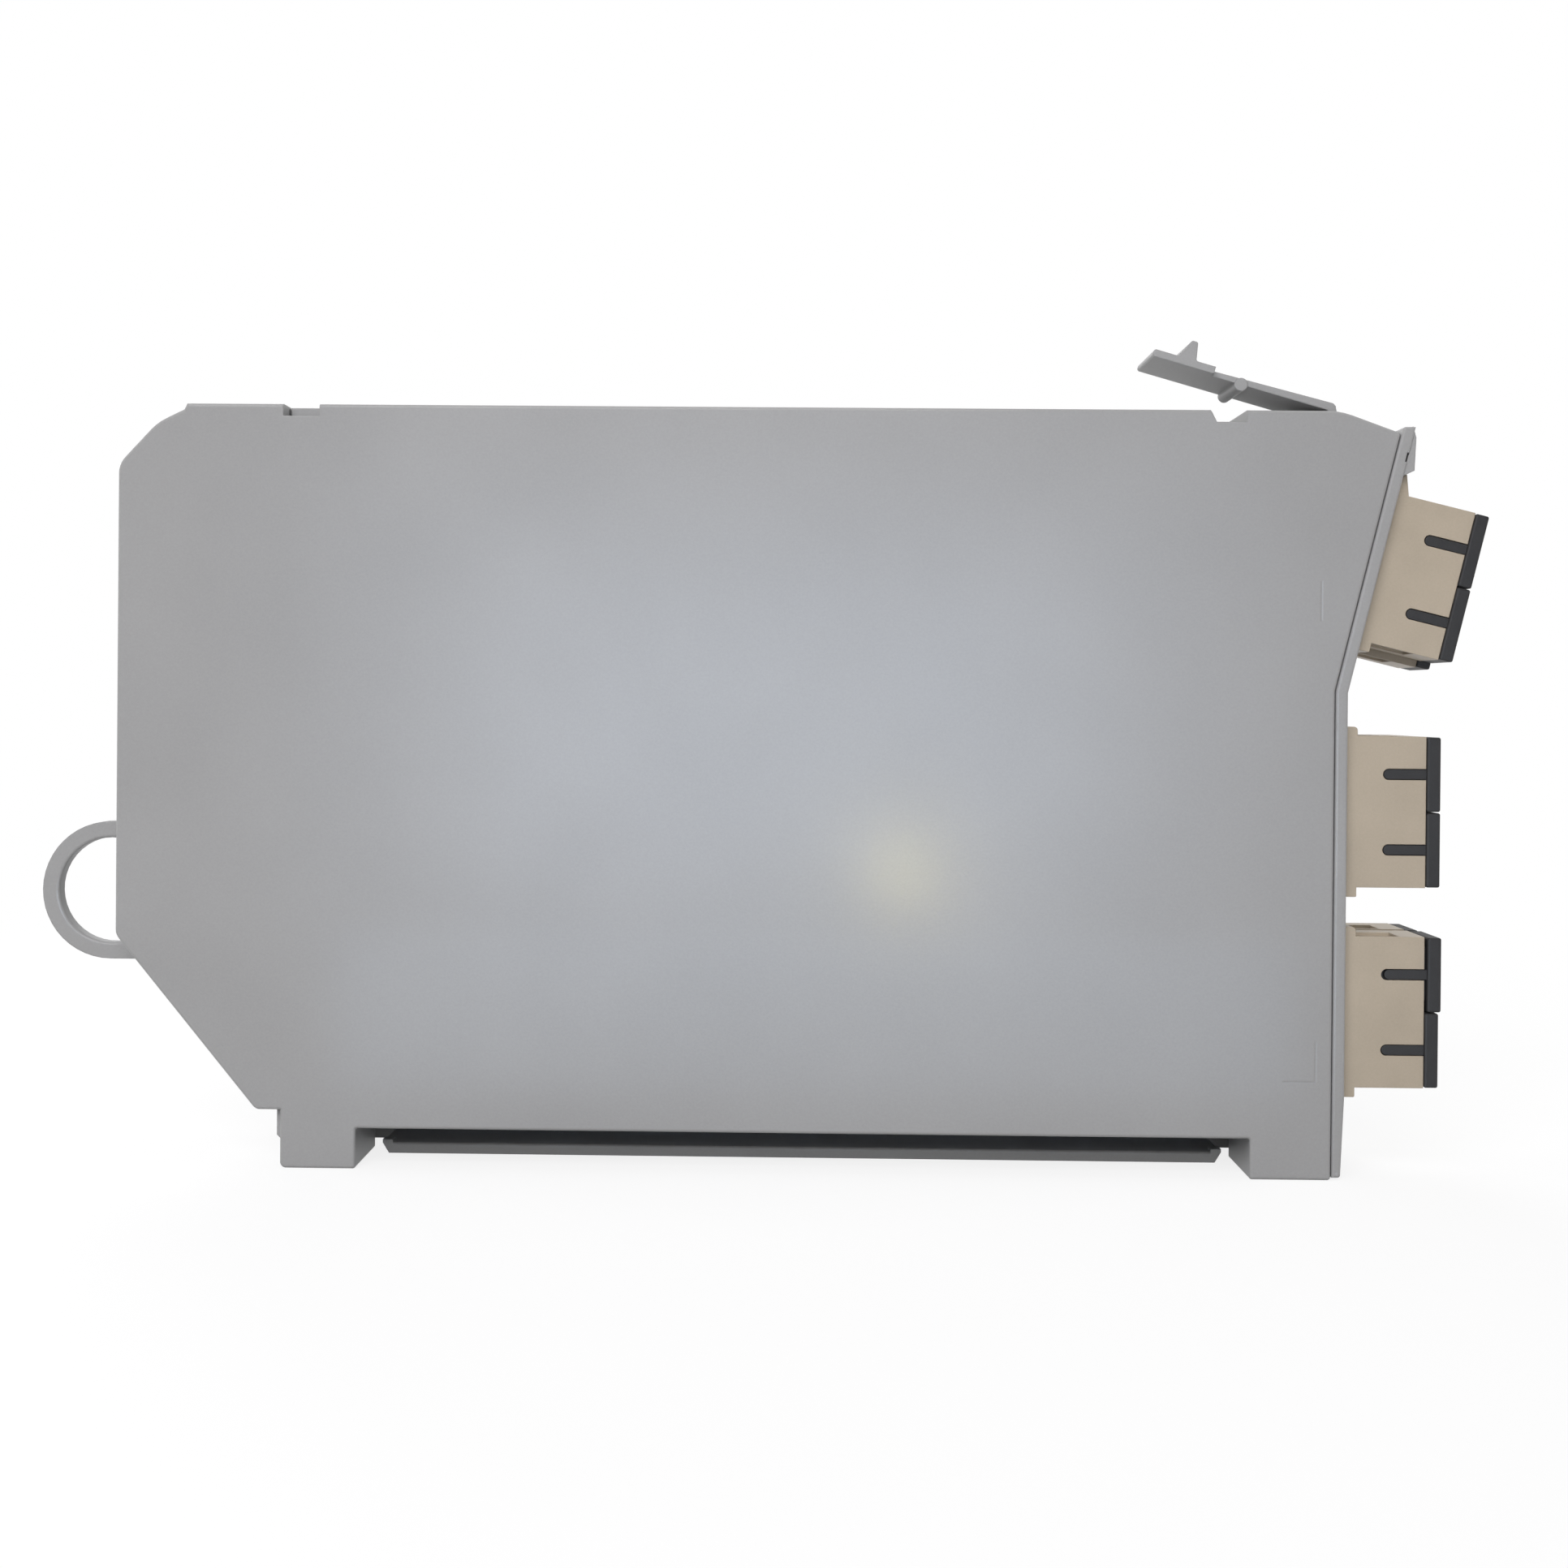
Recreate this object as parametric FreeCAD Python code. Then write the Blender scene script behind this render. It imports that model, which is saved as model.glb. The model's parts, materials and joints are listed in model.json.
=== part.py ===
"""Fibre coupler module: a flat plug-in cassette with six duplex adapters on its front.

Millimetres. +X runs to the front panel, +Y away from the viewer of the plain side, +Z up.
The origin is on the underside of the guide rail, at mid length and mid thickness.
"""
import FreeCAD, Part
import math
import os

Vec = FreeCAD.Vector

# Case: two half shells that meet on a parting plane
case_width = 25.0
case_height = 128.5
rear_x = -103.1
front_x = 101.15
plate = 2.0
rim = 2.8
body_depth = 16.0
edge_round = 0.5
front_opening = 5.0

# Rear end of the case outline
rear_low_z = 39.0
diagonal_x = -79.2
ledge_z = 9.8
shoulder_drop = 10.2
shoulder_x = -96.6
shoulder_top_drop = 3.2
step_x = -91.6
step_height = 1.0
ledge_round = 1.5
rear_low_round = 2.5
shoulder_round = 4.0
shoulder_top_round = 9.0

# Front edge of the case: vertical up to the knee, then leaning forward
front_drop = 3.663
lean = 13.7
slope_lead = 0.45
slope_round = 12.0
lean_end_round = 0.4

# Feet and the cut-out between them
foot_height = 6.8
foot_depth = 15.6
rear_foot_x = -75.0
rear_foot_length = 12.7
front_foot_length = 13.5
foot_wall = 2.0
foot_round = 0.4
rear_foot_round = 1.0
front_foot_round = 0.6
foot_step = 1.0
foot_step_z = 5.2

# Guide rail along the bottom of the cover
rail_height = 1.8
rail_depth = 13.3
rail_gap = 2.2
rail_taper = 1.1
rail_chamfer = 0.3
rail_stop_length = 1.8
rail_stop_height = 0.55
rail_stop_depth = 2.0

# Notches in the top edge and the cover's snap tab in the rear one
notch_depth = 2.0
rear_notch_x = -75.3
front_notch_x = 80.0
notch_length = 6.1
notch_slope = 1.0
tab_clearance = 0.35
tab_setback = 4.0
tab_thickness = 1.5
lip_thickness = 1.2
lip_height = 2.0
lip_clearance = 0.15
lip_end_x = 40.0

# Finger eye at the rear
eye_x = -107.7
eye_z = 45.4
eye_radius = 11.95
eye_hole_radius = 9.1
eye_thickness = 3.0
eye_edge_round = 0.6

# Front panel with its top lip
panel_groove = 0.12
panel_thickness = 2.03
panel_bottom_z = 0.45
panel_taper = 0.55
panel_taper_gap = 0.05
panel_corner_round = 0.5
panel_round = 0.4
rib_depth = 4.0
rib_height = 2.6
rib_clearance = 0.2
rib_overlap = 0.2
panel_rise = 1.6
panel_top_slope = 0.5
panel_top_round = 0.6
hook_drop = 7.1
hook_height = 5.4
hook_reach = 1.6
hook_tip_reach = 0.55
hook_slit = 0.4
hook_slit_rise = 1.0
hook_slit_length = 1.6

# Duplex adapters, in rows on the panel and in two columns
side_gap = 0.4
column_gap = 1.6
bottom_margin = 13.55
row_gap = 5.05
knee_gap = 5.9
upper_row_gap = 7.9
top_margin = 7.9
upper_far_drop = 1.1
adapter_length = 29.0
adapter_reach = 13.8
flange_lip = 1.6
flange_thickness = 2.3
flange_top_round = 0.65
flange_low_round = 0.25
wedge_thickness = 1.1
wedge_gap = 0.1
panel_clearance = 0.1
side_wall = 0.875
port_wall = 1.775
partition = 2.0
slot_width = 1.9
slot_length = 7.2
holder_radius = 2.4
holder_length = 14.0
sleeve_radius = 1.6
sleeve_bore = 1.28
sleeve_length = 11.4
sleeve_slit = 0.5
sleeve_clearance = 0.04

# Recesses on the adapter ends, and the steel clip in the inner pair
recess_depth = 0.5
recess_length = 7.4
recess_width = 5.5
recess_lip = 0.5
clip_thickness = 0.4
clip_tongue = 1.1
clip_web_length = 3.5
clip_gap = 0.2

# Dust plugs and the inner plugs share the port clearance
port_clearance = 0.12
holder_clearance = 0.25
cap_side_gap = 0.8
cap_gap = 0.2
cap_thickness = 2.3
cap_round = 0.35
cap_seat = 0.06
stem_length = 9.0
stem_floor = 1.6
loose_cap_lift = 0.4

# Inner plugs
plug_grip_length = 12.6
plug_grip_margin = 0.35
ferrule_radius = 1.25
ferrule_length = 8.5
boot_length = 18.0
boot_radius = 2.4
boot_tip_radius = 1.2

# Couplers, their holders, drums and fibres
coupler_radius = 1.5
coupler_length = 55.0
coupler_rear_x = -33.0
upper_coupler_rise = 11.5
lower_coupler_rise = 3.5
fibre_radius = 0.45
fibre_split = 0.55
loop_run = 5.0
upper_tail_rise = 2.51
lower_loop_gap = 4.4
s_bend_radius = 20.0
lean_bend_radius = 50.0
turn_share = 0.995
drum_play = 0.575
drum_wall = 1.6
drum_gap = 2.0
holder_block_length = 6.0
holder_block_height = 17.0
holder_bore_clearance = 0.05
holder_block_margin = 2.5
rear_holder_x = -22.0
front_holder_x = 6.0

# Latch arm, pivoted behind the top edge
pivot_back = 0.85
pivot_drop = 1.6
barrel_radius = 1.3
trunnion_radius = 0.9
trunnion_length = 1.3
trunnion_clearance = 0.05
latch_clearance = 0.3
latch_setback = 1.0
arm_depth = 12.5
arm_angle = 16.0
arm_gap = 0.43
arm_length = 31.1
arm_thickness = 0.85
arm_root_thickness = 1.37
root_round = 0.9
wedge_round = 0.2
pad_length = 10.7
pad_thickness = 1.2
pad_overhang = 2.2
pad_round = 0.45
barb_from_end = 4.1
barb_base = 3.2
barb_height = 3.1
barb_lean = 0.6
barb_tip = 1.0
barb_round = 0.4
rod_from_root = 15.2
rod_radius = 1.1
rod_overhang = 0.2
stub_thickness = 1.3
flare_height = 0.9
flare_round = 2.0

# Places that follow from the sizes above
near_y = -case_width / 2
far_y = case_width / 2
parting_y = near_y + body_depth
rear_foot_end = rear_foot_x + rear_foot_length
front_foot_x = front_x - front_foot_length
panel_face = panel_groove + panel_thickness
adapter_face = panel_face + adapter_reach
adapter_rear = adapter_face - adapter_length
adapter_middle = (adapter_face + adapter_rear) / 2
sin_lean = math.sin(math.radians(lean))
cos_lean = math.cos(math.radians(lean))
shoulder_z = case_height - shoulder_drop
shoulder_top_z = case_height - shoulder_top_drop
lean_end_z = case_height - front_drop
straight_gaps = bottom_margin + row_gap + knee_gap
leaning_gaps = (upper_row_gap + top_margin) * cos_lean
flange_height = (lean_end_z - straight_gaps - leaning_gaps) / (2 + cos_lean)
lower_row_z = bottom_margin + flange_height / 2
middle_row_z = lower_row_z + flange_height + row_gap
knee_z = middle_row_z + flange_height / 2 + knee_gap
upper_row_rise = upper_row_gap + flange_height / 2
lean_length = upper_row_rise + flange_height / 2 + top_margin
lean_end_x = front_x + lean_length * sin_lean
panel_taper_z = bottom_margin - panel_taper_gap
panel_top = lean_length + panel_rise
hook_low = panel_top - hook_drop
adapter_width = (case_width - 2 * plate - 2 * side_gap - column_gap) / 2
adapter_height = flange_height - 2 * flange_lip
column_pitch = adapter_width + column_gap
port_pitch = adapter_height / 2
port_width = adapter_width - 2 * side_wall
port_height = port_pitch - 2 * port_wall
cap_width = column_pitch - cap_side_gap
cap_height = port_pitch - cap_gap
upper_coupler_z = middle_row_z + upper_coupler_rise
lower_coupler_z = middle_row_z + lower_coupler_rise
slope_x = front_x + slope_lead
pivot_x = slope_x - pivot_back
pivot_z = case_height - pivot_drop
column_y = {"near": -column_pitch / 2, "far": column_pitch / 2}
port_z = {"a": port_pitch / 2, "b": -port_pitch / 2}
rows = ("upper", "middle", "lower")


def box(x0, x1, y0, y1, z0, z1):
    """Block between two corners."""
    return Part.makeBox(x1 - x0, y1 - y0, z1 - z0, Vec(x0, y0, z0))


def rod(radius, x0, x1, y=0.0, z=0.0):
    """Cylinder along X."""
    return Part.makeCylinder(radius, x1 - x0, Vec(x0, y, z), Vec(1, 0, 0))


def cross_rod(radius, y0, y1, x, z):
    """Cylinder along Y."""
    return Part.makeCylinder(radius, y1 - y0, Vec(x, y0, z), Vec(0, 1, 0))


def rounded_edges(points, y, closed=True):
    """Lines and tangent arcs through (x, z, radius) points on the plane at y."""
    count = len(points)
    starts = []
    ends = []
    edges = []
    for i, (x, z, radius) in enumerate(points):
        here = Vec(x, y, z)
        inner = closed or 0 < i < count - 1
        if radius <= 0 or not inner:
            starts.append(here)
            ends.append(here)
            continue
        before = points[i - 1]
        after = points[(i + 1) % count]
        back = (Vec(before[0], y, before[1]) - here).normalize()
        ahead = (Vec(after[0], y, after[1]) - here).normalize()
        half = back.getAngle(ahead) / 2
        start = here + back * (radius / math.tan(half))
        end = here + ahead * (radius / math.tan(half))
        bisector = (back + ahead).normalize()
        middle = here + bisector * (radius / math.sin(half) - radius)
        starts.append(start)
        ends.append(end)
        edges.append((i, Part.Arc(start, middle, end).toShape()))
    arcs = dict(edges)
    chain = []
    for i in range(count):
        if i in arcs:
            chain.append(arcs[i])
        following = (i + 1) % count
        last = i == count - 1
        if last and not closed:
            break
        if ends[i].distanceToPoint(starts[following]) > 1e-6:
            chain.append(Part.LineSegment(ends[i], starts[following]).toShape())
    return chain


def prism(points, y0, y1):
    """Solid of a rounded outline between two Y planes."""
    face = Part.Face(Part.Wire(rounded_edges(points, y0)))
    return face.extrude(Vec(0, y1 - y0, 0))


def sharp(*pairs):
    """Outline points with no rounding."""
    return [(x, z, 0) for x, z in pairs]


def inset(points, distances):
    """Outline moved in by its own distance on each edge; edge i runs from point i to the next."""
    count = len(points)
    area = 0.0
    for i in range(count):
        x0, z0 = points[i][:2]
        x1, z1 = points[(i + 1) % count][:2]
        area += x0 * z1 - x1 * z0
    side = 1 if area > 0 else -1
    lines = []
    for i in range(count):
        x0, z0 = points[i][:2]
        x1, z1 = points[(i + 1) % count][:2]
        length = math.hypot(x1 - x0, z1 - z0)
        ux = (x1 - x0) / length
        uz = (z1 - z0) / length
        shift = side * distances[i]
        lines.append((x0 - uz * shift, z0 + ux * shift, ux, uz))
    moved = []
    for i in range(count):
        ax, az, aux, auz = lines[i - 1]
        bx, bz, bux, buz = lines[i]
        cross = aux * buz - auz * bux
        along = ((bx - ax) * buz - (bz - az) * bux) / cross
        moved.append((ax + aux * along, az + auz * along, 0))
    return moved


def place(shape, row, y):
    """Move a shape from the adapter's own frame to its row and column."""
    if row == "upper":
        x, z = leaning(0, row_rise(y))
        turn = FreeCAD.Rotation(Vec(0, 1, 0), lean)
    else:
        x = front_x
        z = middle_row_z if row == "middle" else lower_row_z
        turn = FreeCAD.Rotation()
    moved = shape.copy()
    moved.Placement = FreeCAD.Placement(Vec(x, y, z), turn)
    return moved


def row_rise(y):
    """Rise of the upper row from the knee; its far column sits a little lower."""
    return upper_row_rise - (upper_far_drop if y > 0 else 0)


def rear_end_points():
    """Case outline at the rear, from the ledge behind the foot up to the rear shoulder."""
    return [
        (rear_foot_x, ledge_z, 0),
        (diagonal_x, ledge_z, ledge_round),
        (rear_x, rear_low_z, rear_low_round),
        (rear_x, shoulder_z, shoulder_round),
        (shoulder_x, shoulder_top_z, shoulder_top_round),
    ]


def front_end_points():
    """Case outline at the front, from the top edge down to the knee."""
    return [
        (slope_x, case_height, slope_round),
        (lean_end_x, lean_end_z, lean_end_round),
        (front_x, knee_z, 0),
    ]


def top_step_points():
    """Small step where the rear shoulder meets the top edge."""
    return [
        (step_x - step_height / 2, case_height - step_height, 0),
        (step_x, case_height, 0),
    ]


def closed_case_points():
    """Case outline without feet: the bottom runs at the height of the cut-out."""
    bottom = sharp((front_x, foot_height), (rear_foot_x, foot_height))
    return rear_end_points() + top_step_points() + front_end_points() + bottom


def near_plate_points():
    """Outline of the near plate, with both feet and the cut-out between them."""
    bottom = [
        (front_x, 0, front_foot_round),
        (front_foot_x, 0, foot_round),
        (front_foot_x, foot_height, foot_round),
        (rear_foot_end, foot_height, foot_round),
        (rear_foot_end, 0, foot_round),
        (rear_foot_x, 0, rear_foot_round),
    ]
    return rear_end_points() + top_step_points() + front_end_points() + bottom


def far_plate_points():
    """Outline of the far plate, which runs down to the feet all along."""
    bottom = [(front_x, 0, front_foot_round), (rear_foot_x, 0, rear_foot_round)]
    return rear_end_points() + top_step_points() + front_end_points() + bottom


def cavity_points(extra=0.0):
    """Inside of the case: one rim thickness in from the outline, and open at the front."""
    top = [(step_x, case_height, 0)]
    bottom = sharp((front_x, foot_height), (rear_foot_x, foot_height))
    outline = rear_end_points() + top + front_end_points() + bottom
    distances = [rim + extra] * len(outline)
    lean_edge = len(outline) - len(bottom) - 2
    distances[lean_edge] = -front_opening
    distances[lean_edge + 1] = -front_opening
    return inset(outline, distances)


def rounded_plate(points, y0, y1, outer_y):
    """Plate with its outer edges rounded over."""
    solid = prism(points, y0, y1)
    outer = [e for e in solid.Edges if all(abs(v.Point.y - outer_y) < 1e-6 for v in e.Vertexes)]
    return solid.makeFillet(edge_round, outer)


def rear_foot_points():
    """Outline of the rear foot behind the plate, with the step at its back."""
    return [
        (rear_foot_x, 0, rear_foot_round),
        (rear_foot_end, 0, foot_round),
        (rear_foot_end, foot_height, 0),
        (rear_foot_x, foot_height, 0),
        (rear_foot_x, ledge_z, 0),
        (rear_foot_x - foot_step, ledge_z, 0),
        (rear_foot_x - foot_step, foot_step_z, 0),
        (rear_foot_x, foot_step_z - foot_step, 0),
    ]


def front_foot_points():
    """Outline of the front foot behind the plate."""
    return [
        (front_foot_x, 0, foot_round),
        (front_x, 0, front_foot_round),
        (front_x, foot_height, 0),
        (front_foot_x, foot_height, 0),
    ]


def foot_pocket(x0, x1):
    """Hollow of a foot, open towards the cover."""
    top = foot_height
    return box(x0 + foot_wall, x1 - foot_wall, near_y + plate, near_y + foot_depth + 1, foot_wall, top)


def finger_eye():
    """Eye lug in the middle of the thickness, with straight sides running into the rear wall."""
    y0 = -eye_thickness / 2
    y1 = eye_thickness / 2
    disc = cross_rod(eye_radius, y0, y1, eye_x, eye_z)
    neck = box(eye_x, eye_x + eye_radius, y0, y1, eye_z - eye_radius, eye_z + eye_radius)
    hole = cross_rod(eye_hole_radius, y0 - 1, y1 + 1, eye_x, eye_z)
    lug = disc.fuse(neck).removeSplitter().cut(hole)
    rims = []
    for edge in lug.Edges:
        round_edge = isinstance(edge.Curve, Part.Circle)
        if round_edge and abs(edge.Curve.Radius - eye_hole_radius) < 1e-6:
            rims.append(edge)
    lug = lug.makeFillet(eye_edge_round, rims)
    return lug.cut(prism(cavity_points(), y0, y1))


def fibre_drum(coupler_z, loop_z, side):
    """Ring wall inside the inner lane of a fibre loop."""
    x = coupler_rear_x - loop_run
    y0 = near_y + plate / 2
    y1 = far_y - plate - drum_gap
    start_z, level = lane_levels(coupler_z, loop_z, side, -1)
    centre_z = (start_z + level) / 2
    radius = abs(level - start_z) / 2 - fibre_radius - drum_play
    outer = cross_rod(radius, y0, y1, x, centre_z)
    inner = cross_rod(radius - drum_wall, y0 - 1, y1 + 1, x, centre_z)
    return outer.cut(inner)


def latch_slot():
    """Opening in the top wall for the barrel of the latch."""
    reach = barrel_radius + latch_clearance
    top = case_height + 1
    return box(pivot_x - reach, pivot_x + reach, near_y + plate, parting_y, pivot_z - reach, top)


def trunnion_bore(y0, y1):
    """Bearing for one end of the latch barrel."""
    return cross_rod(trunnion_radius + trunnion_clearance, y0, y1, pivot_x, pivot_z)


def top_notch(x0, y1, slope):
    """Notch in the top edge; its rear side may slope."""
    floor = case_height - notch_depth
    x1 = x0 + notch_length
    points = sharp((x0, case_height), (x0 + slope, floor), (x1, floor), (x1, case_height))
    raised = sharp((x0, case_height), (x1, case_height), (x1, case_height + 1), (x0, case_height + 1))
    return prism(points, near_y - 1, y1).fuse(prism(raised, near_y - 1, y1))


def case_body():
    """Main half shell: plate, walls, feet, eye and drums."""
    solid = rounded_plate(near_plate_points(), near_y, near_y + plate, near_y)
    walls = prism(closed_case_points(), near_y + plate, parting_y)
    walls = walls.cut(prism(cavity_points(), near_y + plate, parting_y))
    solid = solid.fuse(walls)
    for outline in (rear_foot_points(), front_foot_points()):
        solid = solid.fuse(prism(outline, near_y + plate, near_y + foot_depth))
    solid = solid.fuse(finger_eye())
    for coupler_z, loop_z, side in loops():
        solid = solid.fuse(fibre_drum(coupler_z, loop_z, side))
    solid = solid.cut(foot_pocket(rear_foot_x, rear_foot_end))
    solid = solid.cut(foot_pocket(front_foot_x, front_x))
    solid = solid.cut(latch_slot())
    solid = solid.cut(trunnion_bore(near_y + plate - trunnion_length, near_y + plate + 1))
    solid = solid.cut(top_notch(rear_notch_x, parting_y + 1, 0))
    solid = solid.cut(top_notch(front_notch_x, parting_y + 1, notch_slope))
    return solid.removeSplitter()


def side_cover():
    """Other half shell: far plate, walls, guide rail, snap tab and locating lip."""
    solid = rounded_plate(far_plate_points(), far_y - plate, far_y, far_y)
    walls = prism(closed_case_points(), parting_y, far_y - plate)
    walls = walls.cut(prism(cavity_points(), parting_y, far_y - plate))
    solid = solid.fuse(walls)
    solid = solid.fuse(guide_rail())
    tab_floor = case_height - notch_depth + tab_clearance
    tab_x0 = rear_notch_x + tab_clearance
    tab_x1 = rear_notch_x + notch_length - tab_clearance
    tab = box(tab_x0, tab_x1, near_y + tab_setback, parting_y + 1, tab_floor, tab_floor + tab_thickness)
    solid = solid.fuse(tab)
    solid = solid.fuse(locating_lip())
    solid = solid.cut(trunnion_bore(parting_y - 1, parting_y + trunnion_length))
    return solid.removeSplitter()


def locating_lip():
    """Rim that stands up inside the walls of the main shell, on a thicker root in the cover."""
    lip = prism(cavity_points(lip_clearance), parting_y - lip_height, parting_y)
    root = prism(cavity_points(-rim / 2), parting_y, parting_y + lip_height)
    inside = cavity_points(lip_clearance + lip_thickness)
    hollow = prism(inside, parting_y - lip_height, parting_y + lip_height)
    beyond = box(lip_end_x, lean_end_x + 2 * front_opening, near_y, far_y, 0, case_height)
    return lip.fuse(root).cut(hollow).cut(beyond)


def guide_rail():
    """Flange along the foot of the far plate, tapered and raised at its ends."""
    x0 = rear_foot_end + rail_gap
    x1 = front_foot_x - rail_gap
    y0 = far_y - rail_depth
    points = sharp((x0, rail_height), (x0 + rail_taper, 0), (x1 - rail_taper, 0), (x1, rail_height))
    rail = prism(points, y0, far_y - plate / 2)
    for stop_x in (x0, x1 - rail_stop_length):
        stop = box(stop_x, stop_x + rail_stop_length, y0, y0 + rail_stop_depth,
                   rail_height, rail_height + rail_stop_height)
        rail = rail.fuse(stop)
    corner = [Vec(x0 + rail_stop_length, y, z) for y, z in (
        (y0, rail_height), (y0 + rail_chamfer, rail_height), (y0, rail_height - rail_chamfer))]
    section = Part.Face(Part.makePolygon(corner, True))
    return rail.cut(section.extrude(Vec(x1 - x0 - 2 * rail_stop_length, 0, 0)))


def leaning(depth, rise):
    """Point (x, z) at a depth out from the leaning front edge and a rise up it from the knee."""
    x = front_x + rise * sin_lean + depth * cos_lean
    z = knee_z + rise * cos_lean - depth * sin_lean
    return x, z


def panel_knee(depth):
    """Where the vertical and leaning faces of the panel meet, at a depth out from the case."""
    rise = depth * (1 - cos_lean) / sin_lean
    return leaning(depth, rise)


def front_panel():
    """Bent panel with six adapter openings, cross ribs behind and a lip at the top."""
    inner = panel_groove
    outer = panel_face
    points = [
        (front_x + inner, panel_bottom_z, 0),
        (front_x + outer - panel_taper, panel_bottom_z, panel_corner_round),
        (front_x + outer, panel_taper_z, 0),
        (*panel_knee(outer), 0),
        (*leaning(outer, panel_top), 0),
        (*leaning(inner, panel_top - panel_top_slope), panel_top_round),
        (*panel_knee(inner), 0),
    ]
    solid = prism(points, near_y, far_y)
    long_edges = []
    for edge in solid.Edges:
        along_y = all(abs(abs(v.Point.y) - far_y) < 1e-6 for v in edge.Vertexes)
        flat = abs(edge.Vertexes[0].Point.y - edge.Vertexes[-1].Point.y) < 1e-6
        if along_y and flat:
            long_edges.append(edge)
    solid = solid.makeFillet(panel_round, long_edges)
    hook_top = hook_low + hook_height
    hook = sharp(
        leaning(outer - panel_round, hook_low - hook_reach),
        leaning(outer + hook_reach, hook_low),
        leaning(outer + hook_tip_reach, hook_top),
        leaning(outer - panel_round, panel_top),
    )
    solid = solid.fuse(prism(hook, near_y + panel_round, far_y - panel_round))
    slit_low = hook_low + hook_slit_rise
    slit = sharp(
        leaning(outer - hook_slit, slit_low),
        leaning(outer, slit_low),
        leaning(outer, slit_low + hook_slit_length),
        leaning(outer - hook_slit, slit_low + hook_slit_length),
    )
    solid = solid.cut(prism(slit, near_y - 1, far_y + 1))
    half_width = far_y - plate - rib_clearance
    root = inner + rib_overlap
    for depth, low, leaned in panel_ribs():
        corners = [(depth, low), (root, low), (root, low + rib_height), (depth, low + rib_height)]
        if leaned:
            rib = sharp(*[leaning(d, r) for d, r in corners])
        else:
            rib = sharp(*[(front_x + d, r) for d, r in corners])
        solid = solid.fuse(prism(rib, -half_width, half_width))
    opening = box(adapter_rear, adapter_face, -adapter_width / 2 - panel_clearance,
                  adapter_width / 2 + panel_clearance, -adapter_height / 2 - panel_clearance,
                  adapter_height / 2 + panel_clearance)
    for row in rows:
        for y in column_y.values():
            solid = solid.cut(place(opening, row, y))
    return solid.removeSplitter()


def panel_ribs():
    """Depth, lowest place and leaning flag of the ribs that plug into the case."""
    deep = panel_groove - rib_depth
    floor = foot_height + rim + rib_clearance
    between = (middle_row_z + lower_row_z - rib_height) / 2
    under_knee = (middle_row_z + flange_height / 2 + knee_z - rib_height) / 2
    above = upper_row_rise + flange_height / 2 + rib_clearance
    return [(deep, floor, False), (deep, between, False), (deep, under_knee, False), (deep, above, True)]


def key_slot(x0, x1, width, y0, y1, z):
    """Key slot or key along X with its inner end, at x0, rounded."""
    run = x1 - x0
    inward = 1 if run > 0 else -1
    centre = x0 + inward * width / 2
    low, high = sorted((centre, x1))
    straight = box(low, high, y0, y1, z - width / 2, z + width / 2)
    return straight.fuse(cross_rod(width / 2, y0, y1, centre, z))


def flange_points(row):
    """Outline of the adapter's flange on the panel; the upper row's tapers up under the panel's lip."""
    face = panel_face + flange_thickness
    points = [
        (panel_face, -flange_height / 2, 0),
        (face, -flange_height / 2, flange_low_round),
    ]
    if row == "upper":
        lip_slope = hook_reach / (hook_reach + panel_round)
        root = hook_low - hook_reach + panel_round * lip_slope - wedge_gap - upper_row_rise
        points += sharp(
            (face, adapter_height / 2),
            (panel_face + wedge_thickness, root + wedge_thickness * lip_slope),
            (panel_face, root),
        )
    else:
        points += [
            (face, flange_height / 2, flange_top_round),
            (panel_face, flange_height / 2, 0),
        ]
    return points


def adapter(row):
    """Duplex adapter housing in its own frame: X out of the panel, Z across its two ports."""
    half_w = adapter_width / 2
    half_h = adapter_height / 2
    solid = box(adapter_rear, adapter_face, -half_w, half_w, -half_h, half_h)
    solid = solid.fuse(prism(flange_points(row), -half_w, half_w))
    port_half = port_width / 2
    for z in port_z.values():
        low = z - port_height / 2
        high = z + port_height / 2
        solid = solid.cut(box(adapter_rear - 1, adapter_face + 1, -port_half, port_half, low, high))
        outside = key_slot(adapter_face - slot_length, adapter_face + 1, slot_width, -half_w - 1, 0, z)
        inside = key_slot(adapter_rear + slot_length, adapter_rear - 1, slot_width, -half_w - 1, 0, z)
        solid = solid.cut(outside).cut(inside)
    for side in (-1, 1):
        for x0 in (panel_face + flange_thickness, panel_groove - recess_length):
            z0, z1 = sorted((side * (half_h - recess_depth), side * (half_h + 1)))
            y0 = -half_w + recess_lip
            solid = solid.cut(box(x0, x0 + recess_length, y0, y0 + recess_width, z0, z1))
    return solid.removeSplitter()


def sleeve_holder(z):
    """Inner piece of one port: a plate across the middle of the adapter with a tube for the sleeve."""
    half_y = port_width / 2
    half_z = port_height / 2
    wall0 = adapter_middle - partition / 2
    wall = box(wall0, wall0 + partition, -half_y, half_y, z - half_z, z + half_z)
    x0 = adapter_middle - holder_length / 2
    x1 = x0 + holder_length
    bore = rod(sleeve_radius + sleeve_clearance, x0 - 1, x1 + 1, 0, z)
    return wall.fuse(rod(holder_radius, x0, x1, 0, z)).cut(bore).removeSplitter()


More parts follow.
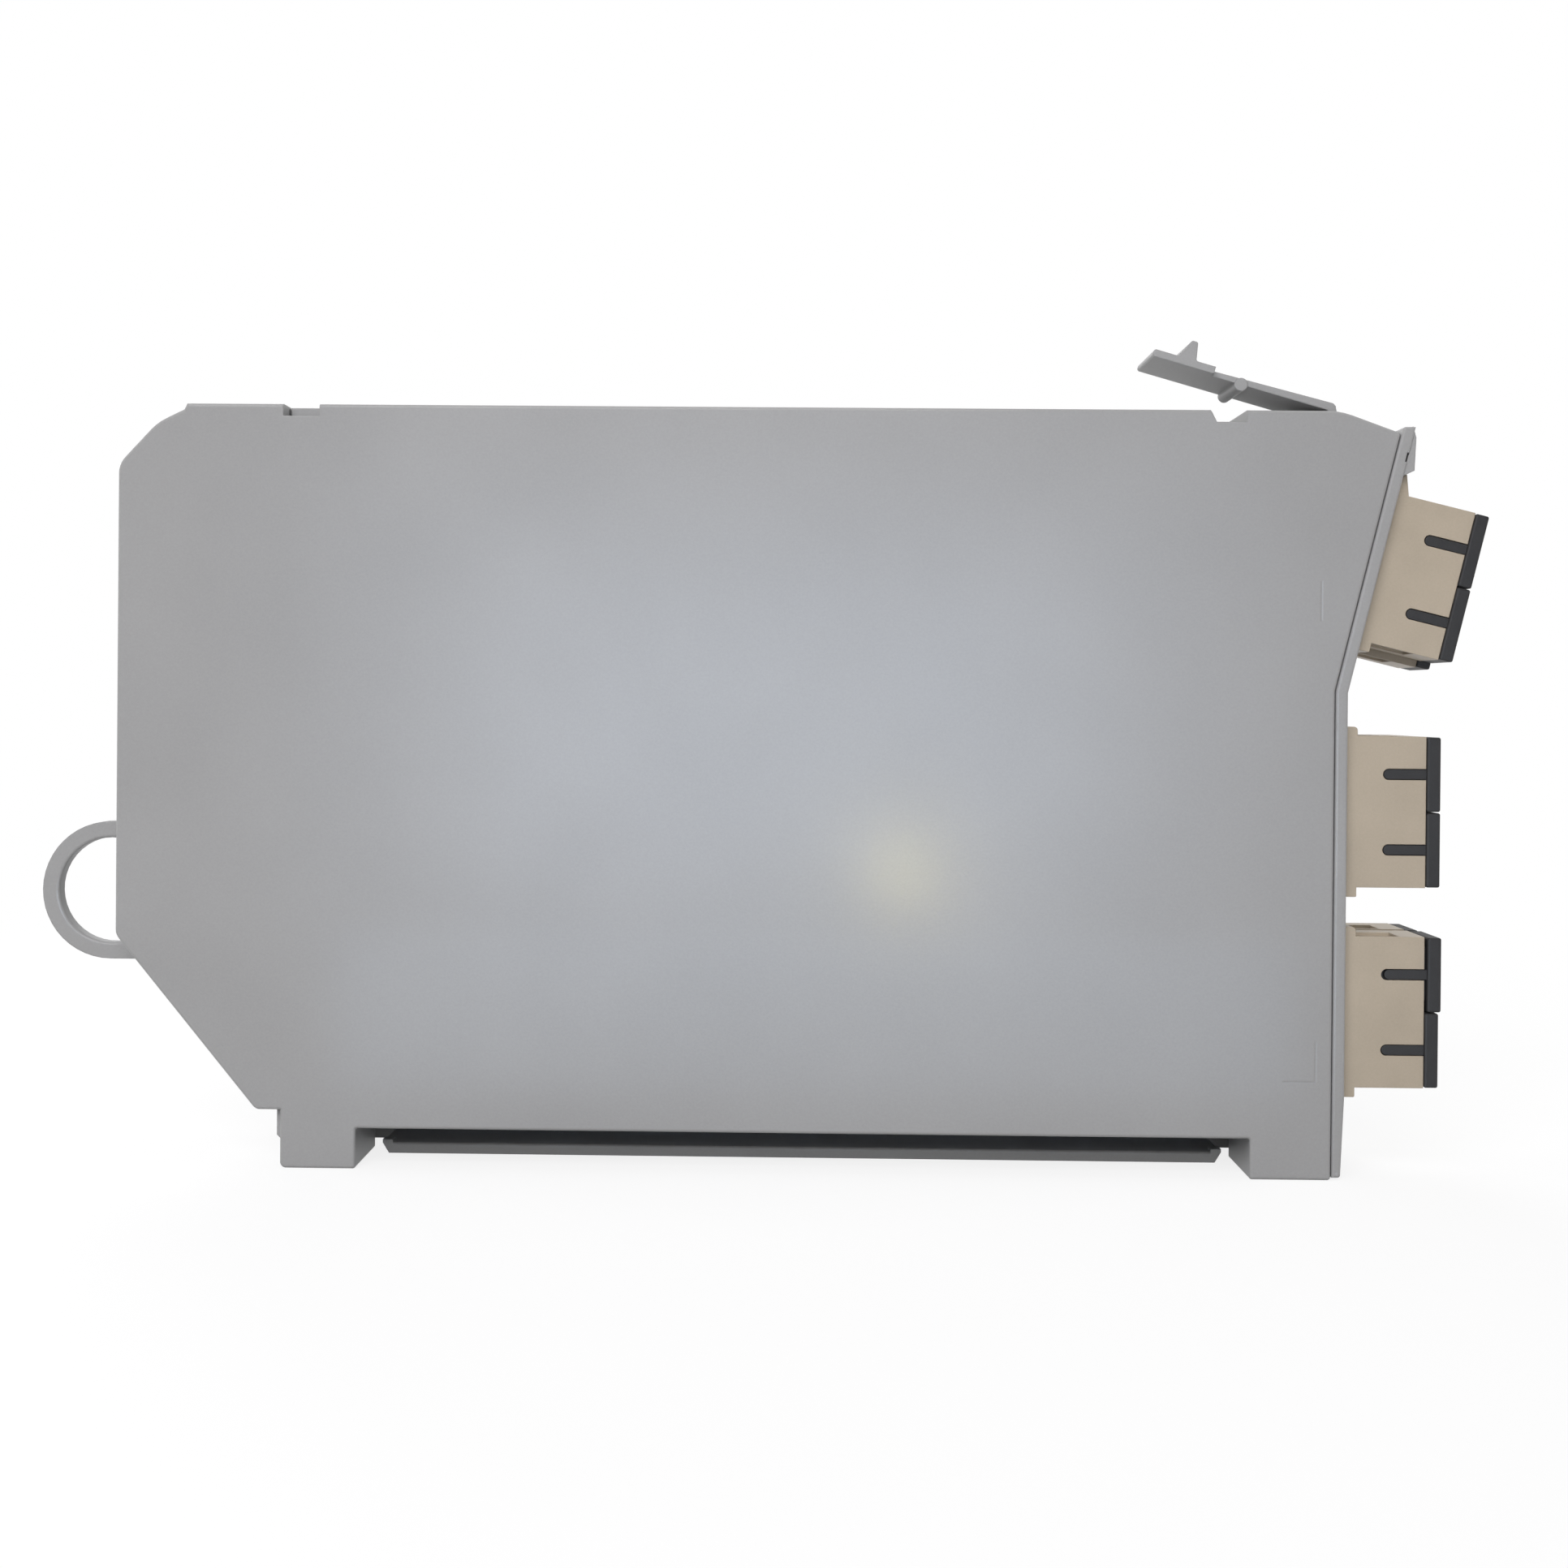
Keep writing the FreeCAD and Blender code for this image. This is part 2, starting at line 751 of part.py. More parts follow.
def adapter_clip(web_side):
    """Steel clip on the inner half: two legs in the end recesses, tongues behind the panel, one web."""
    half_h = adapter_height / 2
    half_w = adapter_width / 2
    leg_in = half_h - recess_depth
    leg_out = leg_in + clip_thickness
    x0 = panel_groove - recess_length + clip_thickness
    y0 = -half_w + recess_lip + clip_thickness / 2
    y1 = y0 + recess_width - clip_thickness
    web0, web1 = sorted((web_side * half_w, web_side * (half_w + clip_thickness)))
    strap0 = min(y0, web0)
    strap1 = max(y1, web1)
    outer = half_h + clip_thickness
    tongue = panel_groove - clip_gap
    solid = box(x0, x0 + clip_web_length, web0, web1, -outer, outer)
    for side in (-1, 1):
        legs = [
            (x0, tongue, y0, y1, leg_in, leg_out),
            (tongue - clip_thickness, tongue, y0, y1, leg_in, half_h + clip_tongue),
            (x0, x0 + clip_web_length, y0, y1, leg_in, outer),
            (x0, x0 + clip_web_length, strap0, strap1, half_h, outer),
        ]
        for lx0, lx1, ly0, ly1, inner_z, outer_z in legs:
            z0, z1 = sorted((side * inner_z, side * outer_z))
            solid = solid.fuse(box(lx0, lx1, ly0, ly1, z0, z1))
    return solid.removeSplitter()


def sleeve_pair():
    """Two split alignment sleeves, one per port."""
    x0 = adapter_middle - sleeve_length / 2
    x1 = x0 + sleeve_length
    sleeves = []
    for z in port_z.values():
        tube = rod(sleeve_radius, x0, x1, 0, z).cut(rod(sleeve_bore, x0 - 1, x1 + 1, 0, z))
        slit = box(x0 - 1, x1 + 1, -sleeve_slit / 2, sleeve_slit / 2, z, z + sleeve_radius + 1)
        sleeves.append(tube.cut(slit))
    return Part.Compound(sleeves)


def port_stem(x0, x1, z):
    """Block that fits a port, from x0 to x1."""
    half_y = port_width / 2 - port_clearance
    half_z = port_height / 2 - port_clearance
    return box(x0, x1, -half_y, half_y, z - half_z, z + half_z)


def dust_plug(z, lift):
    """Dust plug: a flat cap, a hollow stem in the port and a key in the slot."""
    seat = adapter_face + cap_seat + lift
    half_y = cap_width / 2
    half_z = cap_height / 2
    cap = box(seat, seat + cap_thickness, -half_y, half_y, z - half_z, z + half_z)
    cap = cap.makeFillet(cap_round, cap.Edges)
    stem = port_stem(seat - stem_length, seat + cap_round, z)
    hollow = rod(holder_radius + holder_clearance, seat - stem_length - 1, seat - stem_floor, 0, z)
    key_y = -adapter_width / 2 + port_clearance
    key_width = slot_width - 2 * port_clearance
    key_tip = seat - slot_length + port_clearance
    key = key_slot(key_tip, seat + cap_round, key_width, key_y, -port_width / 4, z)
    return cap.fuse(stem).fuse(key).cut(hollow).removeSplitter()


def pigtail_plug(z):
    """Inner plug: port body, ferrule in the sleeve, grip and tapered boot."""
    x_in = adapter_middle - partition / 2 - port_clearance
    body = port_stem(adapter_rear, x_in, z)
    holder0 = adapter_middle - holder_length / 2
    hollow = rod(holder_radius + holder_clearance, holder0 - port_clearance, x_in + 1, 0, z)
    body = body.cut(hollow)
    key_y = -adapter_width / 2 + port_clearance
    key_width = slot_width - 2 * port_clearance
    key_tip = adapter_rear + slot_length - port_clearance
    key = key_slot(key_tip, adapter_rear, key_width, key_y, -port_width / 4, z)
    body = body.fuse(key.cut(hollow))
    ferrule = rod(ferrule_radius, adapter_middle - ferrule_length, adapter_middle, 0, z)
    grip_rear = adapter_rear - cap_seat - plug_grip_length
    half_y = port_width / 2 + plug_grip_margin
    half_z = port_height / 2 + plug_grip_margin
    grip = box(grip_rear, adapter_rear - cap_seat, -half_y, half_y, z - half_z, z + half_z)
    grip = grip.makeFillet(cap_round, grip.Edges)
    neck = port_stem(adapter_rear - cap_seat - cap_round, adapter_rear, z)
    boot = Part.makeCone(boot_radius, boot_tip_radius, boot_length, Vec(grip_rear, 0, z), Vec(-1, 0, 0))
    return body.fuse(neck).fuse(ferrule).fuse(grip).fuse(boot).removeSplitter()


def boot_end():
    """Distance of the end of a boot from the front edge, in the adapter's own frame."""
    return adapter_rear - cap_seat - plug_grip_length - boot_length


def loops():
    """Coupler height, far level and side (up or down) of the two fibre loops in each column."""
    boot_z = leaning(boot_end(), upper_row_rise + port_pitch / 2)[1]
    upper_level = boot_z + upper_tail_rise
    lower_level = foot_height + rim + lower_loop_gap
    return [(upper_coupler_z, upper_level, 1), (lower_coupler_z, lower_level, -1)]


def lane_levels(coupler_z, loop_z, side, lane):
    """Heights of the two straight runs of a fibre in the outer (1) or inner (-1) lane of a loop."""
    start_z = coupler_z - side * lane * fibre_split
    level = loop_z - side * (1 - lane) * fibre_split
    return start_z, level


def fibre(points, y):
    """Buffered fibre along lines and tangent arcs."""
    path = Part.Wire(rounded_edges(points, y, closed=False))
    start = Vec(points[0][0], y, points[0][1])
    ahead = Vec(points[1][0], y, points[1][1]) - start
    circle = Part.Circle(start, ahead, fibre_radius)
    profile = Part.Wire(circle.toShape())
    return path.makePipeShell([profile], True, True)


def loop_points(coupler_z, loop_z, side, lane, tail):
    """Fibre from the rear of a coupler round its drum and forward to its port."""
    start_z, level = lane_levels(coupler_z, loop_z, side, lane)
    radius = turn_share * abs(level - start_z) / 2
    turn_x = coupler_rear_x - loop_run - abs(level - start_z) / 2
    return [
        (coupler_rear_x, start_z, 0),
        (turn_x, start_z, radius),
        (turn_x, level, radius),
    ] + tail


def upper_tail(rise, level):
    """End of a fibre that comes down the leaning row's axis to its boot."""
    end_x, end_z = leaning(boot_end(), rise)
    corner_x = end_x - (level - end_z) * cos_lean / sin_lean
    return [(corner_x, level, lean_bend_radius), (end_x, end_z, 0)]


def lower_tail(z, level, start_x):
    """End of a fibre that rises in an S bend to a port of the lower row."""
    end_x = front_x + boot_end()
    bend_x = end_x - s_bend_radius
    return [(start_x, level, s_bend_radius), (bend_x, z, s_bend_radius), (end_x, z, 0)]


def straight_points(port_height_z, coupler_z):
    """Fibre from a port of the middle row straight back to the front of a coupler."""
    end_x = front_x + boot_end()
    front_end = coupler_rear_x + coupler_length
    reach = end_x - front_end
    return [
        (end_x, port_height_z, 0),
        (end_x - reach / 3, port_height_z, s_bend_radius),
        (front_end + reach / 3, coupler_z, s_bend_radius),
        (front_end, coupler_z, 0),
    ]


def fibre_group(group, y):
    """The three fibres of one coupler: one at its front end and two at its rear end."""
    half = port_pitch / 2
    if group == "upper":
        coupler_z, loop_z, side = loops()[0]
        middle = straight_points(middle_row_z + half, coupler_z)
        outer_tail = upper_tail(row_rise(y) + half, loop_z)
        inner_tail = upper_tail(row_rise(y) - half, loop_z - 2 * fibre_split)
    else:
        coupler_z, loop_z, side = loops()[1]
        middle = straight_points(middle_row_z - half, coupler_z)
        outer_tail = lower_tail(lower_row_z - half, loop_z, s_bend_radius)
        inner_tail = lower_tail(lower_row_z + half, loop_z + 2 * fibre_split, s_bend_radius / 2)
    outer = loop_points(coupler_z, loop_z, side, 1, outer_tail)
    inner = loop_points(coupler_z, loop_z, side, -1, inner_tail)
    return Part.Compound([fibre(middle, y), fibre(outer, y), fibre(inner, y)])


def coupler_tube(coupler_z, y):
    """Sealed coupler in its steel tube."""
    return rod(coupler_radius, coupler_rear_x, coupler_rear_x + coupler_length, y, coupler_z)


def coupler_holder(x0):
    """Block on the case plate, bored for the four coupler tubes."""
    middle_z = (upper_coupler_z + lower_coupler_z) / 2
    half = holder_block_height / 2
    y1 = column_y["far"] + coupler_radius + holder_block_margin
    block = box(x0, x0 + holder_block_length, near_y + plate, y1, middle_z - half, middle_z + half)
    bore = coupler_radius + holder_bore_clearance
    for y in column_y.values():
        for coupler_z in (upper_coupler_z, lower_coupler_z):
            block = block.cut(rod(bore, x0 - 1, x0 + holder_block_length + 1, y, coupler_z))
    return block


def latch_arm():
    """Sprung arm: barrel with trunnions, upright stub, tapered arm, wider end pad with a barb, cross rod."""
    y1 = parting_y - latch_setback
    y0 = y1 - arm_depth
    slope = math.radians(arm_angle)
    along = (-math.cos(slope), math.sin(slope))
    up = (math.sin(slope), math.cos(slope))
    side_x = pivot_x + stub_thickness / 2
    root_x = pivot_x - stub_thickness / 2
    root_z = case_height + arm_gap

    def on_arm(distance, height, radius=0.0):
        x = root_x + along[0] * distance + up[0] * height
        z = root_z + along[1] * distance + up[1] * height
        return (x, z, radius)

    corner = (arm_root_thickness * up[0] - stub_thickness) / up[1]
    pad_start = arm_length - pad_length
    arm_outline = [
        (pivot_x + barrel_radius, pivot_z, 0),
        (side_x, case_height + flare_height, flare_round),
        on_arm(corner, arm_root_thickness, root_round),
        on_arm(pad_start, arm_thickness),
        on_arm(pad_start, 0),
        on_arm(0, 0, wedge_round),
        (root_x, pivot_z, 0),
    ]
    barb_high = arm_length - barb_from_end
    barb_low = barb_high - barb_base
    barb_top = pad_thickness + barb_height
    pad_outline = [
        on_arm(pad_start, 0),
        on_arm(pad_start, pad_thickness),
        on_arm(barb_low, pad_thickness, barb_round),
        on_arm(barb_low + barb_lean, barb_top, barb_round),
        on_arm(barb_low + barb_lean + barb_tip, barb_top, barb_round),
        on_arm(barb_high, pad_thickness),
        on_arm(arm_length, pad_thickness, pad_round),
        on_arm(arm_length, 0, pad_round),
    ]
    solid = prism(arm_outline, y0, y1)
    solid = solid.fuse(prism(pad_outline, y0 - pad_overhang, y1))
    solid = solid.fuse(cross_rod(barrel_radius, y0, y1, pivot_x, pivot_z))
    trunnion0 = near_y + plate - trunnion_length + latch_clearance
    trunnion1 = parting_y + trunnion_length - latch_clearance
    solid = solid.fuse(cross_rod(trunnion_radius, trunnion0, trunnion1, pivot_x, pivot_z))
    rod_x, rod_z, _ = on_arm(rod_from_root, 0)
    solid = solid.fuse(cross_rod(rod_radius, y0 - rod_overhang, y1 + rod_overhang, rod_x, rod_z))
    return solid.removeSplitter()


def build():
    """All pieces by node name."""
    nodes = {
        "case_body": case_body(),
        "side_cover": side_cover(),
        "front_panel": front_panel(),
        "latch_arm": latch_arm(),
        "coupler_clip_front": coupler_holder(front_holder_x),
        "coupler_clip_rear": coupler_holder(rear_holder_x),
    }
    sleeves = sleeve_pair()
    for row in rows:
        holders = []
        for y in column_y.values():
            holders += [place(sleeve_holder(z), row, y) for z in port_z.values()]
        nodes["sleeve_holders_" + row] = Part.Compound(holders)
    for column, y in column_y.items():
        web_side = 1 if column == "near" else -1
        clip = adapter_clip(web_side)
        for row in rows:
            name = row + "_" + column
            nodes["adapter_" + name] = place(adapter(row), row, y)
            nodes["adapter_clip_" + name] = place(clip, row, y)
            nodes["sleeves_" + name] = place(sleeves, row, y)
            for port, z in port_z.items():
                loose = row == "lower" and column == "near" and port == "a"
                lift = loose_cap_lift if loose else 0.0
                nodes["dust_plug_" + name + "_" + port] = place(dust_plug(z, lift), row, y)
                nodes["pigtail_plug_" + name + "_" + port] = place(pigtail_plug(z), row, y)
        for group, coupler_z in (("upper", upper_coupler_z), ("lower", lower_coupler_z)):
            nodes["coupler_tube_" + group + "_" + column] = coupler_tube(coupler_z, y)
            nodes["pigtail_fibres_" + group + "_" + column] = fibre_group(group, y)
    return nodes


os.makedirs("parts", exist_ok=True)
for node_name, node_shape in build().items():
    node_shape.exportStep("parts/" + node_name + ".step")
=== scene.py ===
import json
import math

import bpy
from mathutils import Matrix, Vector


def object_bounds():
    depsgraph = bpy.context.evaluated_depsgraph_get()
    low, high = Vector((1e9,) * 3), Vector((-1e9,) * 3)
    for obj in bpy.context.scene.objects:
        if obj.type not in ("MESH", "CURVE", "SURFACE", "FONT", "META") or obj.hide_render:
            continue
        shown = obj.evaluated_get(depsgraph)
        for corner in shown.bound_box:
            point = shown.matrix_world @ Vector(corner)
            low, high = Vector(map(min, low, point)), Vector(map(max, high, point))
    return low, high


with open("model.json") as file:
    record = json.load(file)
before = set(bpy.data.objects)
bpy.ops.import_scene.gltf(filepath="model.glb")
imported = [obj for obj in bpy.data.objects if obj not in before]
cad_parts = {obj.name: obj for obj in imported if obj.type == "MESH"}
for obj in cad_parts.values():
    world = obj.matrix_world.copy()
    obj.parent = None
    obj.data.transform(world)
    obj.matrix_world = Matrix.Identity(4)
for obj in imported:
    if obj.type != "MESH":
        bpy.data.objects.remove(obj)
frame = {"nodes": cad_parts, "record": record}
cad_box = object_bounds()

# The scene is in metres. The lengths in this file are in millimetres.
MM = 0.001

# Camera as fitted to the photograph: pixels of the square photograph, degrees and millimetres
PHOTO_SIDE = 1932
FRAME_MIDDLE = 0.5
FOCAL_PIXELS = 2353.0
PRINCIPAL_POINT = (946.8, 872.1)
CAMERA_PLACE = (11.1, -332.2, 79.4)
CAMERA_UPRIGHT = 90.0
CAMERA_YAW = 0.807
CAMERA_PITCH = 0.227
CAMERA_ROLL = 0.496
SENSOR_WIDTH = 36.0
NEAREST_SEEN = 10.0

# Colours as they look on the object, 0 to 255
CASE_GREY = (158, 158, 158)
ADAPTER_BEIGE = (177, 165, 147)
DUST_PLUG_GREY = (43, 42, 42)
CLIP_STEEL = (196, 195, 192)
SLEEVE_WHITE = (232, 230, 224)
PLUG_BEIGE = (190, 180, 160)
TUBE_STEEL = (176, 178, 181)
FIBRE_YELLOW = (214, 186, 92)
HOLDER_GREY = (120, 122, 124)
FLOOR_WHITE = (246, 246, 246)
FLOOR_BOUNCE = (184, 184, 184)

# Colours of the lamps, 0 to 255
DAYLIGHT = (253, 252, 255)
WARM_WHITE = (255, 252, 249)
PLAIN_WHITE = (255, 255, 255)
PALE_SKY = (216, 233, 255)
CLEAR_SKY = (214, 232, 255)
LOW_SKY = (210, 231, 255)
BULB_YELLOW = (255, 240, 150)

# Curve from colours of 0 to 255 to linear light
FULL_COLOUR = 255.0
CURVE_KNEE = 0.04045
CURVE_SLOPE = 12.92
CURVE_OFFSET = 0.055
CURVE_POWER = 2.4

# Faint sink lines on the near plate, over the ribs behind it, bumped in and darkened as painted shade:
# (x, z) of both ends
SINK_LINES = (
    ((98.4, 23.0), (98.4, 16.4)),
    ((98.4, 16.4), (93.1, 16.4)),
    ((98.7, 99.9), (98.7, 93.6)),
)
SINK_LINE_WIDTH = 0.55
SINK_LINE_DEPTH = 0.03
NEAR_FACE_DEPTH = 1.0

# Shading of the finishes: specular level of the plastics, cosines where an edge mask fades out,
# share of a normal along Y where a face counts as a flat side, and the noise's usual values
SATIN = 0.3
BEVEL_SAMPLES = 4
EDGE_FADE = (0.8, 0.99)
SIDE_FADE = (0.5, 0.9)
NOISE_MIDDLE = 0.5
NOISE_REACH = 0.25
INNER_ROUGHNESS_REACH = (0.05, 0.07)

# World light from the horizon and from above, and the white backdrop that the camera sees
AMBIENT = (0.13, 0.30)
AMBIENT_FADE = (0.0, 1.0)
BACKDROP = 1.0

# Dimmer room behind the camera that shows in reflections, and where it meets the backdrop
ROOM = 0.15
ROOM_FADE = (-0.7, 0.1)

# Floor: its half side, and the share of it that glows white near the object and away from it
FLOOR_HALF_SIDE = 4000.0
FLOOR_GLOW = (0.82, 1.0)
FLOOR_FADE = (150.0, 420.0)

# Sockets of the colour mix node, whose names repeat
MIX_FIRST_COLOUR = 6
MIX_SECOND_COLOUR = 7
MIX_COLOUR_RESULT = 2

# Place on the object that the lamps are turned to
OBJECT_MIDDLE = (0.0, 0.0, 65.0)


def linear(colour):
    """Colour of 0 to 255 as the linear values that a shader socket takes."""
    values = []
    for channel in colour:
        share = channel / FULL_COLOUR
        if share <= CURVE_KNEE:
            values.append(share / CURVE_SLOPE)
        else:
            values.append(((share + CURVE_OFFSET) / (1.0 + CURVE_OFFSET)) ** CURVE_POWER)
    return (*values, 1.0)


class Graph:
    """Node tree of a material or of the world, emptied so that it can be filled anew."""

    def __init__(self, owner):
        owner.use_nodes = True
        self.tree = owner.node_tree
        self.tree.nodes.clear()

    def node(self, kind, **settings):
        made = self.tree.nodes.new("ShaderNode" + kind)
        for key, value in settings.items():
            setattr(made, key, value)
        return made

    def link(self, source, target):
        self.tree.links.new(source, target)

    def put(self, value, target):
        """Links a socket to target, or sets a plain number there."""
        if isinstance(value, bpy.types.NodeSocket):
            self.link(value, target)
        else:
            target.default_value = value

    def math(self, operation, first, second=0.0):
        made = self.node("Math", operation=operation)
        self.put(first, made.inputs[0])
        self.put(second, made.inputs[1])
        return made.outputs["Value"]

    def spread(self, value, low, high, start=0.0, end=1.0, curve="LINEAR"):
        """value from start to end becomes low to high, and stays within them."""
        made = self.node("MapRange", clamp=True, interpolation_type=curve)
        self.put(value, made.inputs["Value"])
        made.inputs["From Min"].default_value = start
        made.inputs["From Max"].default_value = end
        made.inputs["To Min"].default_value = low
        made.inputs["To Max"].default_value = high
        return made.outputs["Result"]

    def axes(self, vector):
        """X, Y and Z of the vector, to be had by name."""
        made = self.node("SeparateXYZ")
        self.link(vector, made.inputs["Vector"])
        return made.outputs

    def seen_ray(self):
        """1 for the rays that see a surface or its reflection, 0 for the rays that carry light."""
        path = self.node("LightPath").outputs
        seen = self.math("MAXIMUM", path["Is Camera Ray"], path["Is Glossy Ray"])
        return self.math("MAXIMUM", seen, path["Is Transmission Ray"])

    def blend(self, share, first, second):
        """Shader that goes from the first to the second with the share."""
        made = self.node("MixShader")
        self.link(share, made.inputs["Fac"])
        self.link(first, made.inputs[1])
        self.link(second, made.inputs[2])
        return made.outputs["Shader"]


class Finish(Graph):
    """A procedural material whose texture stays fixed to the part."""

    def __init__(self, name, metallic=0.0, specular=0.5):
        self.material = bpy.data.materials.new(name)
        super().__init__(self.material)
        output = self.node("OutputMaterial")
        self.shader = self.node("BsdfPrincipled")
        self.link(self.shader.outputs["BSDF"], output.inputs["Surface"])
        self.shader.inputs["Metallic"].default_value = metallic
        self.shader.inputs["Specular IOR Level"].default_value = specular
        self.place = self.node("TexCoord").outputs["Object"]

    def noise(self, grain, detail=2.0, stretch=(1.0, 1.0, 1.0)):
        """Noise of 0 to 1 in patches about grain wide, longer where an axis has a stretch above 1."""
        mapping = self.node("Mapping")
        self.link(self.place, mapping.inputs["Vector"])
        mapping.inputs["Scale"].default_value = [1.0 / (grain * MM * share) for share in stretch]
        texture = self.node("TexNoise")
        self.link(mapping.outputs["Vector"], texture.inputs["Vector"])
        texture.inputs["Scale"].default_value = 1.0
        texture.inputs["Detail"].default_value = detail
        return texture.outputs["Fac"]

    def sway(self, value, amount):
        """Noise of 0 to 1 as a share about 1 that strays from it by about the amount."""
        offset = self.math("SUBTRACT", value, NOISE_MIDDLE)
        return self.math("ADD", self.math("MULTIPLY", offset, amount / NOISE_REACH), 1.0)

    def rounded(self, radius):
        """Normal that the surface would have with its edges rounded by the radius."""
        made = self.node("Bevel", samples=BEVEL_SAMPLES)
        made.inputs["Radius"].default_value = radius * MM
        return made.outputs["Normal"]

    def normal(self):
        return self.node("NewGeometry").outputs["Normal"]

    def edges(self, radius):
        """1 along edges and corners within radius, 0 on open faces."""
        facing = self.node("VectorMath", operation="DOT_PRODUCT")
        self.link(self.rounded(radius), facing.inputs[0])
        self.link(self.normal(), facing.inputs[1])
        start, end = EDGE_FADE
        return self.spread(facing.outputs["Value"], low=1.0, high=0.0, start=start, end=end)

    def worn_and_highlit_edges(self, radius, grain, least):
        """Mask of the edges in patches about grain wide, from least to 1: edges made lighter by it show
        wear and a painted highlight.
        """
        patches = self.spread(self.noise(grain), low=least, high=1.0)
        return self.math("MULTIPLY", self.edges(radius), patches)

    def sides(self):
        """1 on the faces along the part's edge, 0 on its two flat sides."""
        across = self.math("ABSOLUTE", self.axes(self.normal())["Y"])
        start, end = SIDE_FADE
        return self.spread(across, low=1.0, high=0.0, start=start, end=end)

    def line_mask(self, start, end, width):
        """1 on a soft line between two (x, z) places on the near face, 0 away from it."""
        place = self.axes(self.place)
        beyond = []
        for axis, first, last in (("X", start[0], end[0]), ("Z", start[1], end[1])):
            middle = (first + last) / 2.0 * MM
            reach = abs(last - first) / 2.0 * MM
            offset = self.math("ABSOLUTE", self.math("SUBTRACT", place[axis], middle))
            beyond.append(self.math("SUBTRACT", offset, reach))
        distance = self.math("MAXIMUM", *beyond)
        line = self.spread(distance, low=1.0, high=0.0, start=0.0, end=width / 2.0 * MM)
        near_face = self.math("LESS_THAN", place["Y"], cad_box[0][1] + NEAR_FACE_DEPTH * MM)
        return self.math("MULTIPLY", line, near_face)

    def tint(self, colour, shares):
        """Base colour made lighter or darker by the product of the shares, each about 1."""
        product = shares[0]
        for share in shares[1:]:
            product = self.math("MULTIPLY", product, share)
        scaled = self.node("VectorMath", operation="SCALE")
        scaled.inputs[0].default_value = linear(colour)[:3]
        self.link(product, scaled.inputs["Scale"])
        self.link(scaled.outputs["Vector"], self.shader.inputs["Base Color"])

    def rough(self, value):
        self.link(value, self.shader.inputs["Roughness"])

    def soften(self, radius):
        """Shades the edges as if they were rounded by the radius."""
        self.link(self.rounded(radius), self.shader.inputs["Normal"])

    def bump(self, height, depth):
        """Surface relief, over what is there before: height of 0 to 1 stands for depth."""
        made = self.node("Bump")
        made.inputs["Distance"].default_value = depth * MM
        self.link(height, made.inputs["Height"])
        normal = self.shader.inputs["Normal"]
        if normal.is_linked:
            self.link(normal.links[0].from_socket, made.inputs["Normal"])
        self.link(made.outputs["Normal"], normal)


def case_plastic():
    """Light grey satin plastic of the case, with cloudy sheen, fine mould grain and paler edges, partly
    wear and partly a painted highlight.

    The faces along its edge are duller than its two flat sides.
    """
    finish = Finish("case_grey", specular=SATIN)
    finish.soften(radius=0.35)
    clouds = finish.noise(grain=24.0, detail=1.0)
    grain = finish.noise(grain=0.35)
    masks = [finish.line_mask(start, end, SINK_LINE_WIDTH) for start, end in SINK_LINES]
    lines = masks[0]
    for mask in masks[1:]:
        lines = finish.math("MAXIMUM", lines, mask)
    edge_wear_and_highlight = finish.worn_and_highlit_edges(radius=0.5, grain=4.0, least=0.3)
    finish.tint(CASE_GREY, [
        finish.sway(clouds, amount=0.03),
        finish.sway(grain, amount=0.03),
        # Paler edges: partly wear, partly a painted highlight of the edges
        finish.spread(edge_wear_and_highlight, low=1.0, high=1.10),
        # Painted shade: the sink lines are darkened in colour as well as bumped in
        finish.spread(lines, low=1.0, high=0.93),
    ])
    sheen = finish.spread(finish.noise(grain=15.0, detail=1.0), low=0.215, high=0.27)
    dull = finish.spread(finish.sides(), low=0.0, high=0.18)
    finish.rough(finish.math("ADD", sheen, dull))
    finish.bump(grain, depth=0.006)
    finish.bump(finish.math("SUBTRACT", 1.0, lines), depth=SINK_LINE_DEPTH)
    return finish.material


def adapter_plastic():
    """Beige satin plastic of the adapters."""
    finish = Finish("adapter_beige", specular=SATIN)
    finish.soften(radius=0.2)
    clouds = finish.noise(grain=9.0)
    grain = finish.noise(grain=0.3)
    edge_wear_and_highlight = finish.worn_and_highlit_edges(radius=0.3, grain=2.5, least=0.3)
    finish.tint(ADAPTER_BEIGE, [
        finish.sway(clouds, amount=0.05),
        finish.sway(grain, amount=0.03),
        # Paler edges: partly wear, partly a painted highlight of the edges
        finish.spread(edge_wear_and_highlight, low=1.0, high=1.12),
    ])
    finish.rough(finish.spread(clouds, low=0.34, high=0.44))
    finish.bump(grain, depth=0.006)
    return finish.material


def plug_rubber():
    """Dark grey soft plastic of the dust plugs, dull and a little scuffed."""
    finish = Finish("dust_plug_grey", specular=SATIN)
    finish.soften(radius=0.25)
    scuffs = finish.noise(grain=3.0, detail=5.0)
    grain = finish.noise(grain=0.22)
    edge_wear_and_highlight = finish.worn_and_highlit_edges(radius=0.35, grain=1.5, least=0.2)
    finish.tint(DUST_PLUG_GREY, [
        finish.sway(scuffs, amount=0.14),
        finish.sway(grain, amount=0.07),
        # Paler edges: partly wear, partly a painted highlight of the edges
        finish.spread(edge_wear_and_highlight, low=1.0, high=1.35),
    ])
    finish.rough(finish.spread(scuffs, low=0.46, high=0.62))
    finish.bump(grain, depth=0.012)
    return finish.material


def brushed_metal(name, colour, grain, stretch):
    """Metal with fine drawing lines along the stretched axis."""
    finish = Finish(name, metallic=1.0)
    lines = finish.noise(grain, detail=3.0, stretch=stretch)
    stains = finish.noise(grain=5.0, detail=3.0)
    finish.tint(colour, [
        finish.sway(lines, amount=0.07),
        finish.sway(stains, amount=0.05),
    ])
    finish.rough(finish.spread(lines, low=0.24, high=0.40))
    finish.bump(lines, depth=0.004)
    return finish.material


